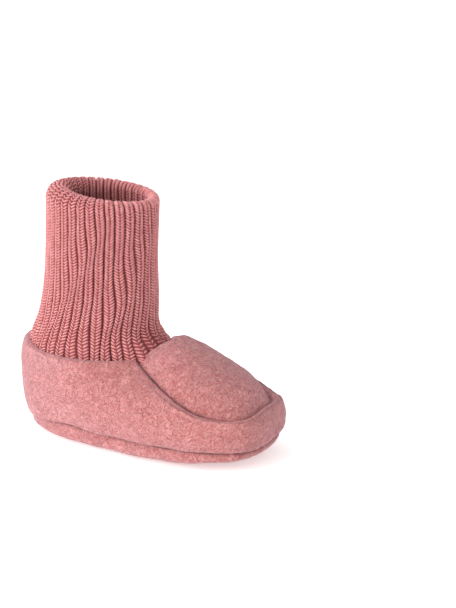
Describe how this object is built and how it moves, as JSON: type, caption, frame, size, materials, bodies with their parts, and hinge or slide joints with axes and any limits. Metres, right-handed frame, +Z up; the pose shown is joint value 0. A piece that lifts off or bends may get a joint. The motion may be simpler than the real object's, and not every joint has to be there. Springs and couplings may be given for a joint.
{
  "type": "felt baby bootie",
  "caption": "Soft ankle-high baby bootie: felt sole, side panel and U-shaped vamp with sunk seams, and a tall folded rib knit cuff that bends at the ankle.",
  "frame": {"origin": "on the floor under the middle of the bounding box", "axes": "+X from heel to toe, +Y across the foot, +Z up"},
  "size_m": [0.115, 0.0606, 0.102],
  "materials": {
    "felt": "matt rose-pink boiled-wool felt with a mottled, slightly raised nap",
    "knit": "matt rose-pink wool rib knit, one plain stitch column to each rib",
    "lining": "matt rose-pink felt lining",
    "padding": "undyed needled wool wadding",
    "thread": "matt rose sewing thread"
  },
  "bodies": {
    "foot": {"outer_sole": "felt", "side_panel": "felt", "vamp": "felt", "sole_padding": "padding", "lining_sole": "lining", "lining_side_panel": "lining", "lining_vamp": "lining", "sole_seam_thread": "thread", "vamp_seam_thread": "thread", "cuff_seam_thread": "thread"},
    "cuff": {"rib_cuff": "knit"}
  },
  "joints": [
    {"name": "ankle_bend", "type": "hinge", "parent": "foot", "child": "cuff", "pos_m": [-0.0235, 0, 0.038], "axis": [0, 1, 0], "range_deg": [-20, 20], "stiffness_Nm_per_rad": 0.06}
  ]
}
